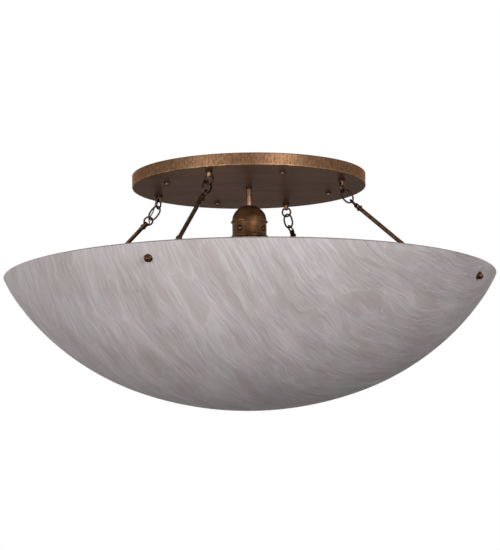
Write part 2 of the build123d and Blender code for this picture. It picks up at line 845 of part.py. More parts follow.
def build():
    """Make every piece and write it under its own name."""
    os.makedirs("parts", exist_ok=True)
    arm_angles = list(ARM_ANGLES.values())

    save("ceiling_bracket", ceiling_bracket())
    save("ground_screw", ground_screw())
    save("bracket_studs", around(STUD_ANGLES, bracket_stud()))
    save("pan", pan())
    save("ring_plate", ring_plate())
    save("cap_nuts", around(STUD_ANGLES, cap_nut()))
    save("chain_posts", around(arm_angles, post()))
    save("post_nuts", around(arm_angles, post_nut()))
    save("stem", stem())
    save("stem_nuts", stem_nuts())
    save("cluster_dome", dome())
    save("cluster_body", cluster_body())
    save("cluster_screws", around(SCREW_ANGLES, cluster_screw()))
    save("lamp_hub", lamp_hub())
    save("hub_finial", finial())
    save("lamp_nipples", around(LAMP_ANGLES, nipple()))
    save("lamp_holders", around(LAMP_ANGLES, lamp_holder()))
    save("bulb_bases", around(LAMP_ANGLES, bulb_base()))
    save("bulb_globes", around(LAMP_ANGLES, bulb_globe()))

    for arm, angle in ARM_ANGLES.items():
        save(f"upper_ring_{arm}", at_angle(angle, upper_ring()))
        save(f"oval_link_{arm}", at_angle(angle, oval_link(arm)))
        save(f"lower_ring_{arm}", at_angle(angle, lower_ring(arm)))
        save(f"arm_rod_{arm}", at_angle(angle, arm_rod(arm)))
        save(f"arm_foot_{arm}", at_angle(angle, foot()))
    eyes = [at_angle(angle, rod_eye(arm)) for arm, angle in ARM_ANGLES.items()]
    save("rod_eyes", Compound([solid for eye in eyes for solid in eye.solids()]))
    save("rod_collars", around(arm_angles, collar()))
    save("foot_pads", around(arm_angles, foot_pad()))
    save("knob_washers", around(arm_angles, knob_washer()))
    save("bowl_knobs", around(arm_angles, knob()))
    save("bowl", bowl())

    save("lead_bush", at_angle(ARM_ANGLES["a"], lead_bush()))
    save("arm_lead", at_angle(ARM_ANGLES["a"], lead()))


build()
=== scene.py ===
import bpy
import numpy as np
from mathutils import Matrix, Vector


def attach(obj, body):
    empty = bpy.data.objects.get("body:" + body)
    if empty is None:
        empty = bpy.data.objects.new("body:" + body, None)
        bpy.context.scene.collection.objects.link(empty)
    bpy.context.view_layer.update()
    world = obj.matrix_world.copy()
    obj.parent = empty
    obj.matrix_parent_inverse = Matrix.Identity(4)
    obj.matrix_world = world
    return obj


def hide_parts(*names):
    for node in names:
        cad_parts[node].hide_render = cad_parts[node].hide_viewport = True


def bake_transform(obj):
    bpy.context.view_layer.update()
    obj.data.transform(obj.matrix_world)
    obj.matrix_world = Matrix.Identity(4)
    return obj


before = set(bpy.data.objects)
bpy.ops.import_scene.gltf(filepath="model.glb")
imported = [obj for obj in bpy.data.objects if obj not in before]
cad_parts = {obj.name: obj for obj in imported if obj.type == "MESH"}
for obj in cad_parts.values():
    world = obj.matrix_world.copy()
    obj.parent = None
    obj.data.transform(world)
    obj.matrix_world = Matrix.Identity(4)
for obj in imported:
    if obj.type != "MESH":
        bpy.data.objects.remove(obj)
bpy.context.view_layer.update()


# Zinc plated steel inside the pan: the bracket that screws to the ceiling box, its studs
# and nuts, the ring plate that takes the pull of the chains, and the lamp nipples.
# Stamped and turned parts with a dull, slightly cloudy plating.
def colour(red, green, blue):
    """Screen colour (0 to 255) as the linear colour that a shader socket takes."""
    screen = np.array([red, green, blue], float) / 255
    linear = np.where(screen <= 0.04045, screen / 12.92, ((screen + 0.055) / 1.055) ** 2.4)
    return (*linear.tolist(), 1.0)


def ramp_between(tree, factor, start, low, end, high):
    """Colour that goes from low to high while the factor goes from start to end."""
    ramp = tree.nodes.new("ShaderNodeValToRGB")
    stops = ramp.color_ramp.elements
    stops[0].position, stops[0].color = start, low
    stops[1].position, stops[1].color = end, high
    tree.links.new(factor, ramp.inputs["Fac"])
    return ramp.outputs["Color"]


def metal(name, deep, worn, grain, shine, roughness, stretch=(1, 1, 1), relief=0.0, edge=None):
    """Metal finish: a deep colour that is worn to a lighter one in cloudy patches.

    The cloud is noise of grain patches per metre on the object's coordinates, stretched.
    The edge is the tint of the gloss where the metal is seen at a low angle.
    """
    material = bpy.data.materials.new(name)
    material.use_nodes = True
    tree = material.node_tree
    shader = tree.nodes["Principled BSDF"]
    shader.inputs["Metallic"].default_value = shine
    shader.inputs["Specular Tint"].default_value = edge or (1, 1, 1, 1)
    shader.inputs["Roughness"].default_value = roughness
    place = tree.nodes.new("ShaderNodeTexCoord")
    lay = tree.nodes.new("ShaderNodeMapping")
    lay.inputs["Scale"].default_value = stretch
    cloud = tree.nodes.new("ShaderNodeTexNoise")
    cloud.inputs["Scale"].default_value = grain
    cloud.inputs["Detail"].default_value = 6.0
    cloud.inputs["Roughness"].default_value = 0.62
    tree.links.new(place.outputs["Object"], lay.inputs["Vector"])
    tree.links.new(lay.outputs["Vector"], cloud.inputs["Vector"])
    shade = ramp_between(tree, cloud.outputs["Fac"], 0.36, deep, 0.68, worn)
    tree.links.new(shade, shader.inputs["Base Color"])
    if relief:
        bump = tree.nodes.new("ShaderNodeBump")
        bump.inputs["Strength"].default_value = relief
        bump.inputs["Distance"].default_value = 0.0005
        tree.links.new(cloud.outputs["Fac"], bump.inputs["Height"])
        tree.links.new(bump.outputs["Normal"], shader.inputs["Normal"])
    return material


def dress(material, *names):
    """Give CAD nodes a finish."""
    for name in names:
        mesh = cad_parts[name].data
        mesh.materials.clear()
        mesh.materials.append(material)


zinc = metal(
    "zinc_plating",
    colour(120, 120, 118),
    colour(176, 176, 170),
    grain=60,
    shine=0.9,
    roughness=0.42,
)
dress(zinc, "ceiling_bracket", "bracket_studs", "ring_plate", "post_nuts", "stem_nuts")
dress(zinc, "lamp_nipples")
earth_green = metal(
    "earth_green",
    colour(24, 92, 44),
    colour(38, 120, 60),
    grain=80,
    shine=0.3,
    roughness=0.5,
)
dress(earth_green, "ground_screw")

# Pan: a round cover pressed from copper coloured sheet, brushed up and down on its side
# and left darker and plainer underneath. The bevel where the two meet carries a painted
# highlight, a lighter strip, and the rolled edge against the ceiling carries painted shade.
PAN_R = 0.2185
PAN_H = 0.023
PAN_SHEET = 0.0012
PAN_BEVEL = 0.0014
HIGHLIGHT_STRIP = 0.0011
SHADE_STRIP = 0.0012
EDGE_ROUND = 0.0004
UNDER = -PAN_H
COPPER_EDGE = (0.62, 0.42, 0.31, 1)
CREASE = 32.0


def smooth_piece(name, points, faces):
    """New piece with a smooth shaded mesh of these points and faces."""
    mesh = bpy.data.meshes.new(name)
    mesh.from_pydata(points.tolist(), [], faces)
    mesh.shade_smooth()
    thing = bpy.data.objects.new(name, mesh)
    bpy.context.scene.collection.objects.link(thing)
    return thing


def lathe(name, profile, sides, places=None, crease=CREASE):
    """Surface turned about Z: profile row (radius, height) times angle, at each place.

    Point (row, side) is (radius cos a, radius sin a, height) with a = 2 pi side / sides.
    Rows on the axis become single poles. The profile runs with its outside on the right.
    """
    rows = np.asarray(profile, float)
    angle = 2 * np.pi * np.arange(sides) / sides
    circle = np.stack([np.cos(angle), np.sin(angle)], 1)
    pole = rows[:, 0] < 1e-9
    points, index, faces = [], [], []
    count = 0
    for (radius, height), single in zip(rows, pole):
        ring = np.zeros((1, 2)) if single else radius * circle
        points.append(np.column_stack([ring, np.full(len(ring), height)]))
        index.append(count + np.arange(sides) % len(ring))
        count += len(ring)
    for row, (a, b) in enumerate(zip(index, index[1:])):
        quads = np.stack([a, np.roll(a, -1), np.roll(b, -1), b], 1)
        if pole[row] and pole[row + 1]:
            continue
        if pole[row]:
            quads = quads[:, [0, 2, 3]]
        elif pole[row + 1]:
            quads = quads[:, [0, 1, 2]]
        faces += quads.tolist()
    points = np.vstack(points)
    turns = [np.array(place, float) for place in places or [Matrix.Identity(4)]]
    copies = [points @ turn[:3, :3].T + turn[:3, 3] for turn in turns]
    faces = [[corner + k * count for corner in face] for k in range(len(turns)) for face in faces]
    thing = smooth_piece(name, np.vstack(copies), faces)
    thing.data.set_sharp_from_angle(angle=np.radians(crease))
    return thing


def place_piece(thing, material, body, slot, *replaced):
    """Finish a new piece: its material, the body it moves with and what it stands for."""
    thing.data.materials.append(material)
    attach(thing, body)
    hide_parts(*replaced)


def middles(thing):
    """Middle of each face of a piece, one row of x, y and z a face."""
    return np.array([face.center[:] for face in thing.data.polygons])


def paint(thing, part, *finishes):
    """Add finishes 1, 2, ... to a piece and give each face the one that part numbers."""
    for finish in finishes:
        thing.data.materials.append(finish)
    thing.data.polygons.foreach_set("material_index", part.astype(np.int32))


copper_side = metal(
    "brushed_copper_side",
    colour(80, 58, 43),
    colour(126, 94, 69),
    grain=330,
    shine=0.8,
    roughness=0.42,
    stretch=(1, 1, 0.4),
    relief=0.25,
    edge=COPPER_EDGE,
)
# Painted highlight: a lighter copper for the pan's bevel and the dome's bead, where edges catch
# the lamps.
painted_highlight = metal(
    "painted_highlight_metal",
    colour(104, 79, 55),
    colour(164, 130, 92),
    grain=90,
    shine=0.8,
    roughness=0.4,
    edge=COPPER_EDGE,
)
# Painted shade: a dark copper for the pan's edge against the ceiling, the flanges and seat where
# parts meet the pan, and the groove over the dome's bead.
painted_shade = metal(
    "painted_shade_metal",
    colour(44, 32, 25),
    colour(78, 56, 42),
    grain=200,
    shine=0.7,
    roughness=0.5,
    edge=COPPER_EDGE,
)
copper_floor = metal(
    "brushed_copper_floor",
    colour(106, 85, 72),
    colour(134, 108, 92),
    grain=26,
    shine=0.9,
    roughness=0.45,
    stretch=(0.25, 1.6, 1),
    edge=(0.72, 0.57, 0.48, 1),
)
inner = PAN_R - PAN_SHEET
shell = [
    (0, UNDER),
    (0.05, UNDER),
    (0.15, UNDER),
    (PAN_R - PAN_BEVEL, UNDER),
    (PAN_R - 0.35 * PAN_BEVEL, UNDER + 0.3 * PAN_BEVEL),
    (PAN_R, UNDER + PAN_BEVEL),
    (PAN_R, UNDER + PAN_BEVEL + HIGHLIGHT_STRIP),
    (PAN_R, -SHADE_STRIP),
    (PAN_R, -EDGE_ROUND),
    (PAN_R - EDGE_ROUND, 0),
    (inner, 0),
    (inner, UNDER + PAN_SHEET + PAN_BEVEL),
    (inner - PAN_BEVEL, UNDER + PAN_SHEET),
    (0, UNDER + PAN_SHEET),
]
pan = lathe("pan_shell", shell, 256, crease=20.0)
place_piece(pan, copper_floor, "ceiling_side", "brushed_copper", "pan")
x, y, heights = middles(pan).T
radii = np.hypot(x, y)
outside = radii > PAN_R - 1.2 * PAN_BEVEL
below_side = UNDER + PAN_BEVEL
# Faces of the brushed side (1), of the painted highlight on the bevel and the strip above it (2),
# and of the painted shade at the edge against the ceiling (3).
part = np.select(
    [
        (radii > PAN_R - EDGE_ROUND) & (heights > -SHADE_STRIP),
        outside & (heights > UNDER + 1e-5) & (heights < below_side + HIGHLIGHT_STRIP),
        outside & (heights > below_side),
    ],
    [3, 2, 1],
)
paint(pan, part, copper_side, painted_highlight, painted_shade)

# Cap nuts: four small domed nuts of turned bronze under the pan, each screwed up on a
# stud of the bracket, so that they draw the pan against the ceiling. They stand midway
# between the arms.
ARMS = {"a": 157.2, "b": 247.2, "c": 67.2, "d": 337.2}
NUT_CIRCLE = 0.1627
NUT_R = 0.0048
NUT_H = 0.0062
NUT_CROWN = 0.0040
NUT_FLANGE_T = 0.0012


def turned_to(angle):
    """Matrix that turns a piece drawn along +X to a compass angle in degrees."""
    return Matrix.Rotation(np.radians(angle), 4, "Z")


def on_arms(place, offset=0):
    """The same place on each of the four arms, or an offset in degrees from them."""
    return [turned_to(angle + offset) @ place for angle in ARMS.values()]


def rounded(start, end, radius_x, radius_z, steps):
    """Part of an ellipse from angle start to end in degrees, as (radius, height)."""
    turn = np.radians(np.linspace(start, end, steps))
    return np.stack([radius_x * np.cos(turn), radius_z * np.sin(turn)], 1)


def painted_shade_above(thing, level):
    """Painted shade: the dark finish on the faces of a piece that lie above a level, against the
    pan.
    """
    paint(thing, middles(thing)[:, 2] > level, painted_shade)


bronze = metal(
    "dark_bronze",
    colour(50, 36, 27),
    colour(98, 71, 51),
    grain=90,
    shine=0.85,
    roughness=0.34,
    relief=0.1,
    edge=COPPER_EDGE,
)
rubbed_bronze = metal(
    "rubbed_bronze",
    colour(96, 74, 57),
    colour(150, 117, 92),
    grain=200,
    shine=0.9,
    roughness=0.34,
    edge=COPPER_EDGE,
)
crown = rounded(-90, 0, 0.9 * NUT_R, NUT_CROWN, 9) + [0, UNDER - NUT_H + NUT_CROWN]
nut_profile = [
    *crown.tolist(),
    (0.9 * NUT_R, UNDER - NUT_FLANGE_T),
    (1.24 * NUT_R, UNDER - NUT_FLANGE_T + 0.0002),
    (1.28 * NUT_R, UNDER - 0.0001),
    (0.9 * NUT_R, UNDER),
]
spots = on_arms(Matrix.Translation((NUT_CIRCLE, 0, 0)), -45)
nuts = lathe("domed_cap_nuts", nut_profile, 32, spots)
place_piece(nuts, rubbed_bronze, "ceiling_side", "dark_bronze", "cap_nuts")
# Painted shade: the nut's flange against the pan is dark.
painted_shade_above(nuts, UNDER - NUT_FLANGE_T - 0.0001)

# Chain posts: turned copper pins with a flange against the pan, painted dark as shade, and a
# hole across them near the foot, through which the chain's first ring passes. A spigot
# through the pan takes the lock nut.
POST_HOLE = np.array([0.185, 0, -0.031])
POST_BORE_R = 0.00255
POST_R = 0.0043
POST_L = 0.012
POST_FLANGE_R = 0.0067
POST_FLANGE_T = 0.0024
SPIGOT_R = 0.003
SPIGOT_TOP = UNDER + 0.0075


def drilled(thing, radius, half, places):
    """Round holes through a piece: a cylinder of that radius is cut away at each place."""
    drill = lathe("drill", [(0, -half), (radius, -half), (radius, half), (0, half)], 24, places)
    bore = thing.modifiers.new("bore", "BOOLEAN")
    bore.object = drill
    bore.solver = "EXACT"
    bpy.context.view_layer.update()
    cut = thing.evaluated_get(bpy.context.evaluated_depsgraph_get())
    mesh = bpy.data.meshes.new_from_object(cut)
    thing.modifiers.clear()
    thing.data = mesh
    bpy.data.objects.remove(drill)
    mesh.set_sharp_from_angle(angle=np.radians(CREASE))


post_bronze = metal(
    "post_bronze",
    colour(74, 56, 42),
    colour(136, 104, 78),
    grain=260,
    shine=0.9,
    roughness=0.33,
    edge=COPPER_EDGE,
)
foot = UNDER - POST_L
post_profile = [
    (0, foot),
    (POST_R - 0.0011, foot),
    (POST_R - 0.0004, foot + 0.0003),
    (POST_R, foot + 0.0011),
    (POST_R, UNDER - POST_FLANGE_T),
    (POST_FLANGE_R - 0.0005, UNDER - POST_FLANGE_T),
    (POST_FLANGE_R, UNDER - POST_FLANGE_T + 0.0005),
    (POST_FLANGE_R, UNDER),
    (SPIGOT_R, UNDER),
    (SPIGOT_R, SPIGOT_TOP),
    (0, SPIGOT_TOP),
]
spots = on_arms(Matrix.Translation((POST_HOLE[0], 0, 0)))
posts = lathe("drilled_posts", post_profile, 32, spots)
across = Matrix.Translation(POST_HOLE) @ Matrix.Rotation(np.pi / 2, 4, "X")
drilled(posts, POST_BORE_R, half=0.006, places=on_arms(across))
place_piece(posts, post_bronze, "ceiling_side", "brushed_copper", "chain_posts")
# Painted shade: the flange and spigot against the pan are dark.
painted_shade_above(posts, UNDER - POST_FLANGE_T - 0.0001)

# Stem: a length of bright copper pipe from the pan to the lamp hub, with a seat ring where
# it comes out of the pan that is painted dark as shade.
STEM_R = 0.00515
STEM_END = -0.172
STEM_TOP = -0.0005
SEAT_R = 0.0063
SEAT_T = 0.0024
polished = metal(
    "polished_copper",
    colour(128, 94, 71),
    colour(172, 133, 106),
    grain=500,
    shine=0.9,
    roughness=0.27,
    stretch=(1, 1, 0.06),
    edge=COPPER_EDGE,
)
stem_profile = [
    (0, STEM_END),
    (STEM_R, STEM_END),
    (STEM_R, UNDER - SEAT_T),
    (SEAT_R - 0.0003, UNDER - SEAT_T + 0.0001),
    (SEAT_R, UNDER - SEAT_T + 0.0006),
    (SEAT_R, UNDER),
    (STEM_R, UNDER),
    (STEM_R, STEM_TOP),
    (0, STEM_TOP),
]
stem = lathe("copper_stem", stem_profile, 48)
place_piece(stem, polished, "ceiling_side", "brushed_copper", "stem")
# Painted shade: the seat ring against the pan is dark.
painted_shade_above(stem, UNDER - SEAT_T - 0.0001)

# Domed cover and drum of the lamp cluster: spun bronze, the dome with a bead over the drum's
# top that is painted lighter as a highlight and a groove above it painted dark as shade, and
# the drum with a lip turned out at its foot and four round head screws.
DOME_TOP = -0.0562
DOME_H = 0.0298
DOME_R = 0.0323
SKIRT = DOME_TOP - DOME_H
BEAD_R = 0.0348
BEAD_FOOT = SKIRT - 0.0036
BEAD_TOP = SKIRT - 0.0014
GROOVE_TOP = SKIRT + 0.0007
DRUM_R = 0.0321
DRUM_FOOT = -0.1176
STEM_HOLE_R = 0.0052
SCREW_R = 0.0052
SCREW_SHANK_R = 0.002
SCREW_Z = -0.1030
SCREW_ANGLES = (56, 146, 236, 326)
spun_bronze = metal(
    "spun_bronze",
    colour(66, 43, 29),
    colour(112, 79, 52),
    grain=46,
    shine=0.5,
    roughness=0.42,
    relief=0.12,
    edge=(0.34, 0.23, 0.16, 1),
)
cap_curve = rounded(0, 84, DOME_R, DOME_H, 18) + [0, SKIRT]
dome_profile = [
    (STEM_HOLE_R, BEAD_FOOT),
    (DRUM_R, BEAD_FOOT),
    (BEAD_R - 0.0006, SKIRT - 0.0032),
    (BEAD_R, SKIRT - 0.0024),
    (BEAD_R, SKIRT - 0.0018),
    (BEAD_R - 0.0004, SKIRT - 0.0013),
    (DOME_R + 0.0003, SKIRT - 0.0010),
    (DOME_R - 0.0004, SKIRT - 0.0004),
    *cap_curve.tolist(),
    (STEM_HOLE_R, DOME_TOP),
]
dome = lathe("domed_cover", dome_profile, 96)
place_piece(dome, spun_bronze, "ceiling_side", "dark_bronze", "cluster_dome")
# Painted highlight on the bead up to its top, painted shade in the groove above it.
heights = middles(dome)[:, 2]
part = np.select([heights < BEAD_TOP, heights < GROOVE_TOP], [1, 2])
paint(dome, part, painted_highlight, painted_shade)
drum_profile = [
    (STEM_HOLE_R, DRUM_FOOT),
    (BEAD_R - 0.0006, DRUM_FOOT),
    (BEAD_R, DRUM_FOOT + 0.0006),
    (BEAD_R, DRUM_FOOT + 0.0022),
    (BEAD_R - 0.0008, DRUM_FOOT + 0.0030),
    (DRUM_R + 0.0005, DRUM_FOOT + 0.0038),
    (DRUM_R, DRUM_FOOT + 0.0048),
    (DRUM_R, BEAD_FOOT),
    (STEM_HOLE_R, BEAD_FOOT),
]
drum = lathe("cluster_drum", drum_profile, 96)
place_piece(drum, spun_bronze, "ceiling_side", "dark_bronze", "cluster_body")
head = rounded(0, 90, SCREW_R, 0.0026, 7) + [0, 0.0010]
screw_profile = [
    (0, -0.006),
    (SCREW_SHANK_R, -0.006),
    (SCREW_SHANK_R, 0),
    (SCREW_R, 0),
    *head.tolist(),
]
spots = [
    turned_to(angle)
    @ Matrix.Translation((DRUM_R, 0, SCREW_Z))
    @ Matrix.Rotation(np.pi / 2, 4, "Y")
    for angle in SCREW_ANGLES
]
screws = lathe("round_head_screws", screw_profile, 24, spots)
place_piece(screws, bronze, "ceiling_side", "dark_bronze", "cluster_screws")
dress(bronze, "lamp_hub", "hub_finial")

# Lamps: four ceramic holders on the hub's nipples, each with a screw-base lamp whose
# frosted glass swells to a round end. They spread level from the hub, a little nose down.
LAMP_Z = -0.143
LAMP_TILT = 12.0
LAMP_ANGLES = (21, 111, 201, 291)
HOLDER_R = 0.019
GLOBE_START = 0.072
GLOBE_L = 0.082
lamp_turn = Matrix.Rotation(np.pi / 2 + np.radians(LAMP_TILT), 4, "Y")
lamp_frame = Matrix.Translation((0, 0, LAMP_Z)) @ lamp_turn
lamp_spots = [turned_to(angle) @ lamp_frame for angle in LAMP_ANGLES]


def plain(name, base, roughness):
    """Even finish of one colour."""
    material = bpy.data.materials.new(name)
    material.use_nodes = True
    shader = material.node_tree.nodes["Principled BSDF"]
    shader.inputs["Base Color"].default_value = base
    shader.inputs["Roughness"].default_value = roughness
    return material


ceramic = plain("glazed_ceramic", colour(226, 222, 210), 0.3)
frosted = plain("frosted_glass", colour(238, 236, 228), 0.35)
nickel = metal(
    "nickel",
    colour(150, 148, 142),
    colour(190, 188, 180),
    grain=60,
    shine=0.9,
    roughness=0.3,
)
holder_profile = [
    (0.005, 0.036),
    (0.0125, 0.036),
    (0.0135, 0.0364),
    (HOLDER_R - 0.0004, 0.0434),
    (HOLDER_R, 0.0446),
    (HOLDER_R, 0.0705),
    (HOLDER_R - 0.0010, 0.0715),
    (0.0135, 0.0715),
    (0.0134, 0.046),
    (0, 0.046),
]
holders = lathe("ceramic_holders", holder_profile, 40, lamp_spots)
place_piece(holders, ceramic, "ceiling_side", "white_ceramic", "lamp_holders")
dress(nickel, "bulb_bases")
along = np.linspace(0, GLOBE_L, 30)
knots = [0, 0.004, 0.016, 0.036, 0.051, 0.067, 0.0785, GLOBE_L]
widths = [0.0132, 0.0136, 0.0175, 0.0272, 0.0300, 0.0255, 0.0135, 0.0]
swell = np.interp(along, knots, widths)
swell[:-1] = np.convolve(np.pad(swell, 2, mode="edge"), np.ones(5) / 5, "valid")[:-1]
swell[0], swell[-1] = widths[0], widths[-1]
globe_profile = [(0, GLOBE_START), *np.stack([swell, GLOBE_START + along], 1).tolist()]
globes = lathe("frosted_globes", globe_profile, 40, lamp_spots)
place_piece(globes, frosted, "ceiling_side", "lamp_glass", "bulb_globes")

# Chains: three links of bent and closed round wire on each arm. The first ring goes
# through the post, an oval link hangs in it, and the last ring goes through the rod's eye.
# Slopes are in degrees under the horizontal, twists in degrees about the chain.
WIRE_R = 0.00165
LOOP_R = 0.00845
LOOP_L = 2 * LOOP_R
OVAL_STRAIGHT = 0.012
RING_1_SLOPE = 80
OVAL_SLOPE = 50
RING_2_SLOPE = 44
ROD_SLOPE = 41.6
HOLE_LIFT = 0.0005
LINK_PITCH = 0.00375
EYE_PLAY = 0.0002
OVAL_TWIST = {"a": 0.0, "b": 35.0, "c": 40.0, "d": 0.0}
RING_2_TWIST = {"a": -50.0, "b": 125.0, "c": 130.0, "d": 76.0}


def downhill(slope):
    """Unit vector outwards and down, at a slope in degrees under the horizontal."""
    return np.array([np.cos(np.radians(slope)), 0, -np.sin(np.radians(slope))])


def link_normal(slope, twist):
    """Normal of a link's flat: across the arm, turned by twist about the chain."""
    lift = np.array([np.sin(np.radians(slope)), 0, np.cos(np.radians(slope))])
    turn = np.radians(twist)
    return np.array([0, 1, 0]) * np.cos(turn) + lift * np.sin(turn)


def wire_ring(one, other, sides):
    """Circle of unit radius in the plane of two unit vectors, at each point of a line."""
    s = 2 * np.pi * np.arange(sides) / sides
    return one[:, None, :] * np.cos(s)[:, None] + other[:, None, :] * np.sin(s)[:, None]


def on_arm(points, angle):
    """Points drawn along +X, turned to an arm's compass angle."""
    return points @ np.array(turned_to(angle), float)[:3, :3].T


def link(name, start, reach, normal, straight, angle, around=64, sides=14):
    """Closed wire link from its start along reach, in the plane across normal.

    The middle line is an oval: x = half (1 - cos t), y = LOOP_R sin t, with cos and sin
    squared off a little when the link is long. The wire's section is a circle across it.
    """
    reach = reach / np.linalg.norm(reach)
    normal = normal / np.linalg.norm(normal)
    t = 2 * np.pi * np.arange(around) / around
    half = LOOP_R + straight / 2
    power = 1.0 if straight == 0 else 0.86
    bent_x = half * (1 - np.sign(np.cos(t)) * np.abs(np.cos(t)) ** power)
    bent_y = LOOP_R * np.sign(np.sin(t)) * np.abs(np.sin(t)) ** power
    middle = start + np.outer(bent_x, reach) + np.outer(bent_y, np.cross(normal, reach))
    ahead = np.roll(middle, -1, 0) - np.roll(middle, 1, 0)
    ahead /= np.linalg.norm(ahead, axis=1)[:, None]
    wire = wire_ring(np.cross(ahead, normal), np.tile(normal, (around, 1)), sides)
    points = (middle[:, None, :] + WIRE_R * wire).reshape(-1, 3)
    grid = np.arange(around * sides).reshape(around, sides)
    onward = np.roll(grid, -1, 0)
    corners = [grid, np.roll(grid, -1, 1), np.roll(onward, -1, 1), onward]
    faces = np.stack(corners, -1).reshape(-1, 4)
    return smooth_piece(name, on_arm(points, angle), faces.tolist())


blackened = metal(
    "blackened_wire",
    colour(34, 25, 19),
    colour(98, 73, 56),
    grain=200,
    shine=0.9,
    roughness=0.36,
    edge=(0.22, 0.15, 0.11, 1),
)
ring_1_top = POST_HOLE - downhill(RING_1_SLOPE) * HOLE_LIFT
ring_1_end = ring_1_top + downhill(RING_1_SLOPE) * LOOP_L
oval_top = ring_1_end - downhill((RING_1_SLOPE + OVAL_SLOPE) / 2) * LINK_PITCH
oval_end = oval_top + downhill(OVAL_SLOPE) * (LOOP_L + OVAL_STRAIGHT)
ring_2_top = oval_end - downhill((OVAL_SLOPE + RING_2_SLOPE) / 2) * LINK_PITCH
EYE = ring_2_top + downhill(RING_2_SLOPE) * LOOP_L
ROD = downhill(ROD_SLOPE)


def eye_bore(arm):
    """Direction of the rod eye's hole: square to the rod, in the last ring's flat."""
    bore = np.cross(link_normal(RING_2_SLOPE, RING_2_TWIST[arm]), ROD)
    return bore / np.linalg.norm(bore)


for arm, angle in ARMS.items():
    body = f"chain_{arm}"
    reach, normal = downhill(RING_1_SLOPE), link_normal(RING_1_SLOPE, 90)
    first = link(f"post_ring_{arm}", ring_1_top, reach, normal, 0, angle)
    place_piece(first, blackened, body, "dark_bronze", f"upper_ring_{arm}")
    reach, normal = downhill(OVAL_SLOPE), link_normal(OVAL_SLOPE, OVAL_TWIST[arm])
    second = link(f"long_link_{arm}", oval_top, reach, normal, OVAL_STRAIGHT, angle)
    place_piece(second, blackened, body, "dark_bronze", f"oval_link_{arm}")
    normal = link_normal(RING_2_SLOPE, RING_2_TWIST[arm])
    reach = np.cross(eye_bore(arm), normal)
    reach = reach if reach @ ROD > 0 else -reach
    start = EYE + ROD * EYE_PLAY - reach / np.linalg.norm(reach) * LOOP_L
    third = link(f"eye_ring_{arm}", start, reach, normal, 0, angle)
    place_piece(third, blackened, body, "dark_bronze", f"lower_ring_{arm}")

# Rods: straight bronze tubes that slant down into the bowl. Each has a drilled eye with
# a flange at its top, a collar over its lower end, and a bent flat strap behind the wall.
# Heights in these profiles are lengths down the rod from the eye's hole.
ROD_R = 0.0039
ROD_END = 0.139
EYE_R = 0.0045
EYE_BORE_R = 0.003
EYE_NOSE = 0.0046
EYE_NECK = 0.0060
EYE_FLANGE_R = 0.0060
EYE_FLANGE_END = 0.0084
EYE_SPIGOT_R = 0.0031
EYE_SPIGOT_END = 0.0160
COLLAR_R = 0.0045
COLLAR_HALF = 0.0045
rod_turn = np.eye(4)
rod_turn[:3] = np.stack([(0, 1, 0), np.cross(ROD, (0, 1, 0)), ROD, EYE], 1)
ROD_FRAME = Matrix(rod_turn)
rod_bronze = metal(
    "rod_bronze",
    colour(42, 29, 21),
    colour(86, 61, 44),
    grain=90,
    shine=0.8,
    roughness=0.38,
    edge=(0.30, 0.20, 0.14, 1),
)
pipe = [
    (0, EYE_FLANGE_END),
    (ROD_R, EYE_FLANGE_END),
    (ROD_R, 0.06),
    (ROD_R, ROD_END),
    (0, ROD_END),
]
for arm, angle in ARMS.items():
    rod = lathe(f"slanted_rod_{arm}", pipe, 32, [turned_to(angle) @ ROD_FRAME])
    place_piece(rod, rod_bronze, "bowl_unit", "dark_bronze", f"arm_rod_{arm}")
    dress(rod_bronze, f"arm_foot_{arm}")
nose = rounded(-78, 0, EYE_R, 0.0016, 6) + [0, -0.003]
eye_profile = [
    (0, -EYE_NOSE),
    *nose.tolist(),
    (EYE_R, EYE_NECK),
    (EYE_FLANGE_R - 0.0005, EYE_NECK),
    (EYE_FLANGE_R, EYE_NECK + 0.0006),
    (EYE_FLANGE_R, EYE_FLANGE_END - 0.0004),
    (EYE_FLANGE_R - 0.0004, EYE_FLANGE_END),
    (EYE_SPIGOT_R, EYE_FLANGE_END + 0.0001),
    (EYE_SPIGOT_R, EYE_SPIGOT_END),
    (0, EYE_SPIGOT_END),
]
eyes = lathe("drilled_eyes", eye_profile, 32, on_arms(ROD_FRAME))
bores = [
    turned_to(angle)
    @ Matrix.Translation(EYE)
    @ Vector(eye_bore(arm)).to_track_quat("Z", "Y").to_matrix().to_4x4()
    for arm, angle in ARMS.items()
]
drilled(eyes, EYE_BORE_R, half=0.0065, places=bores)
place_piece(eyes, rod_bronze, "bowl_unit", "dark_bronze", "rod_eyes")
swollen = rounded(-70, 70, 0.0012, 0.0042, 9) + [COLLAR_R, ROD_END]
collar_profile = [
    (ROD_R, ROD_END - COLLAR_HALF),
    *swollen.tolist(),
    (ROD_R, ROD_END + COLLAR_HALF),
]
collars = lathe("rod_end_collars", collar_profile, 32, on_arms(ROD_FRAME))
place_piece(collars, rod_bronze, "bowl_unit", "dark_bronze", "rod_collars")

# Bowl: one piece of stone-like acrylic, slumped from a flat sheet, so its swirls run
# across the whole bowl in one direction; satin outside, with a finely bevelled rim that
# is left as sawn.
BOWL_R = 0.45675
BOWL_WALL = 0.0066
RIM_Z = -0.1938
RIM_BEVEL = 0.0012
SLOPES = np.radians([64.6, 54.5, 41.9, 20.0, 0.0])
BENDS = [0.2642, 0.4431, 0.4816]
FLOW = 57.0
ISLAND_LEVEL = 0.60


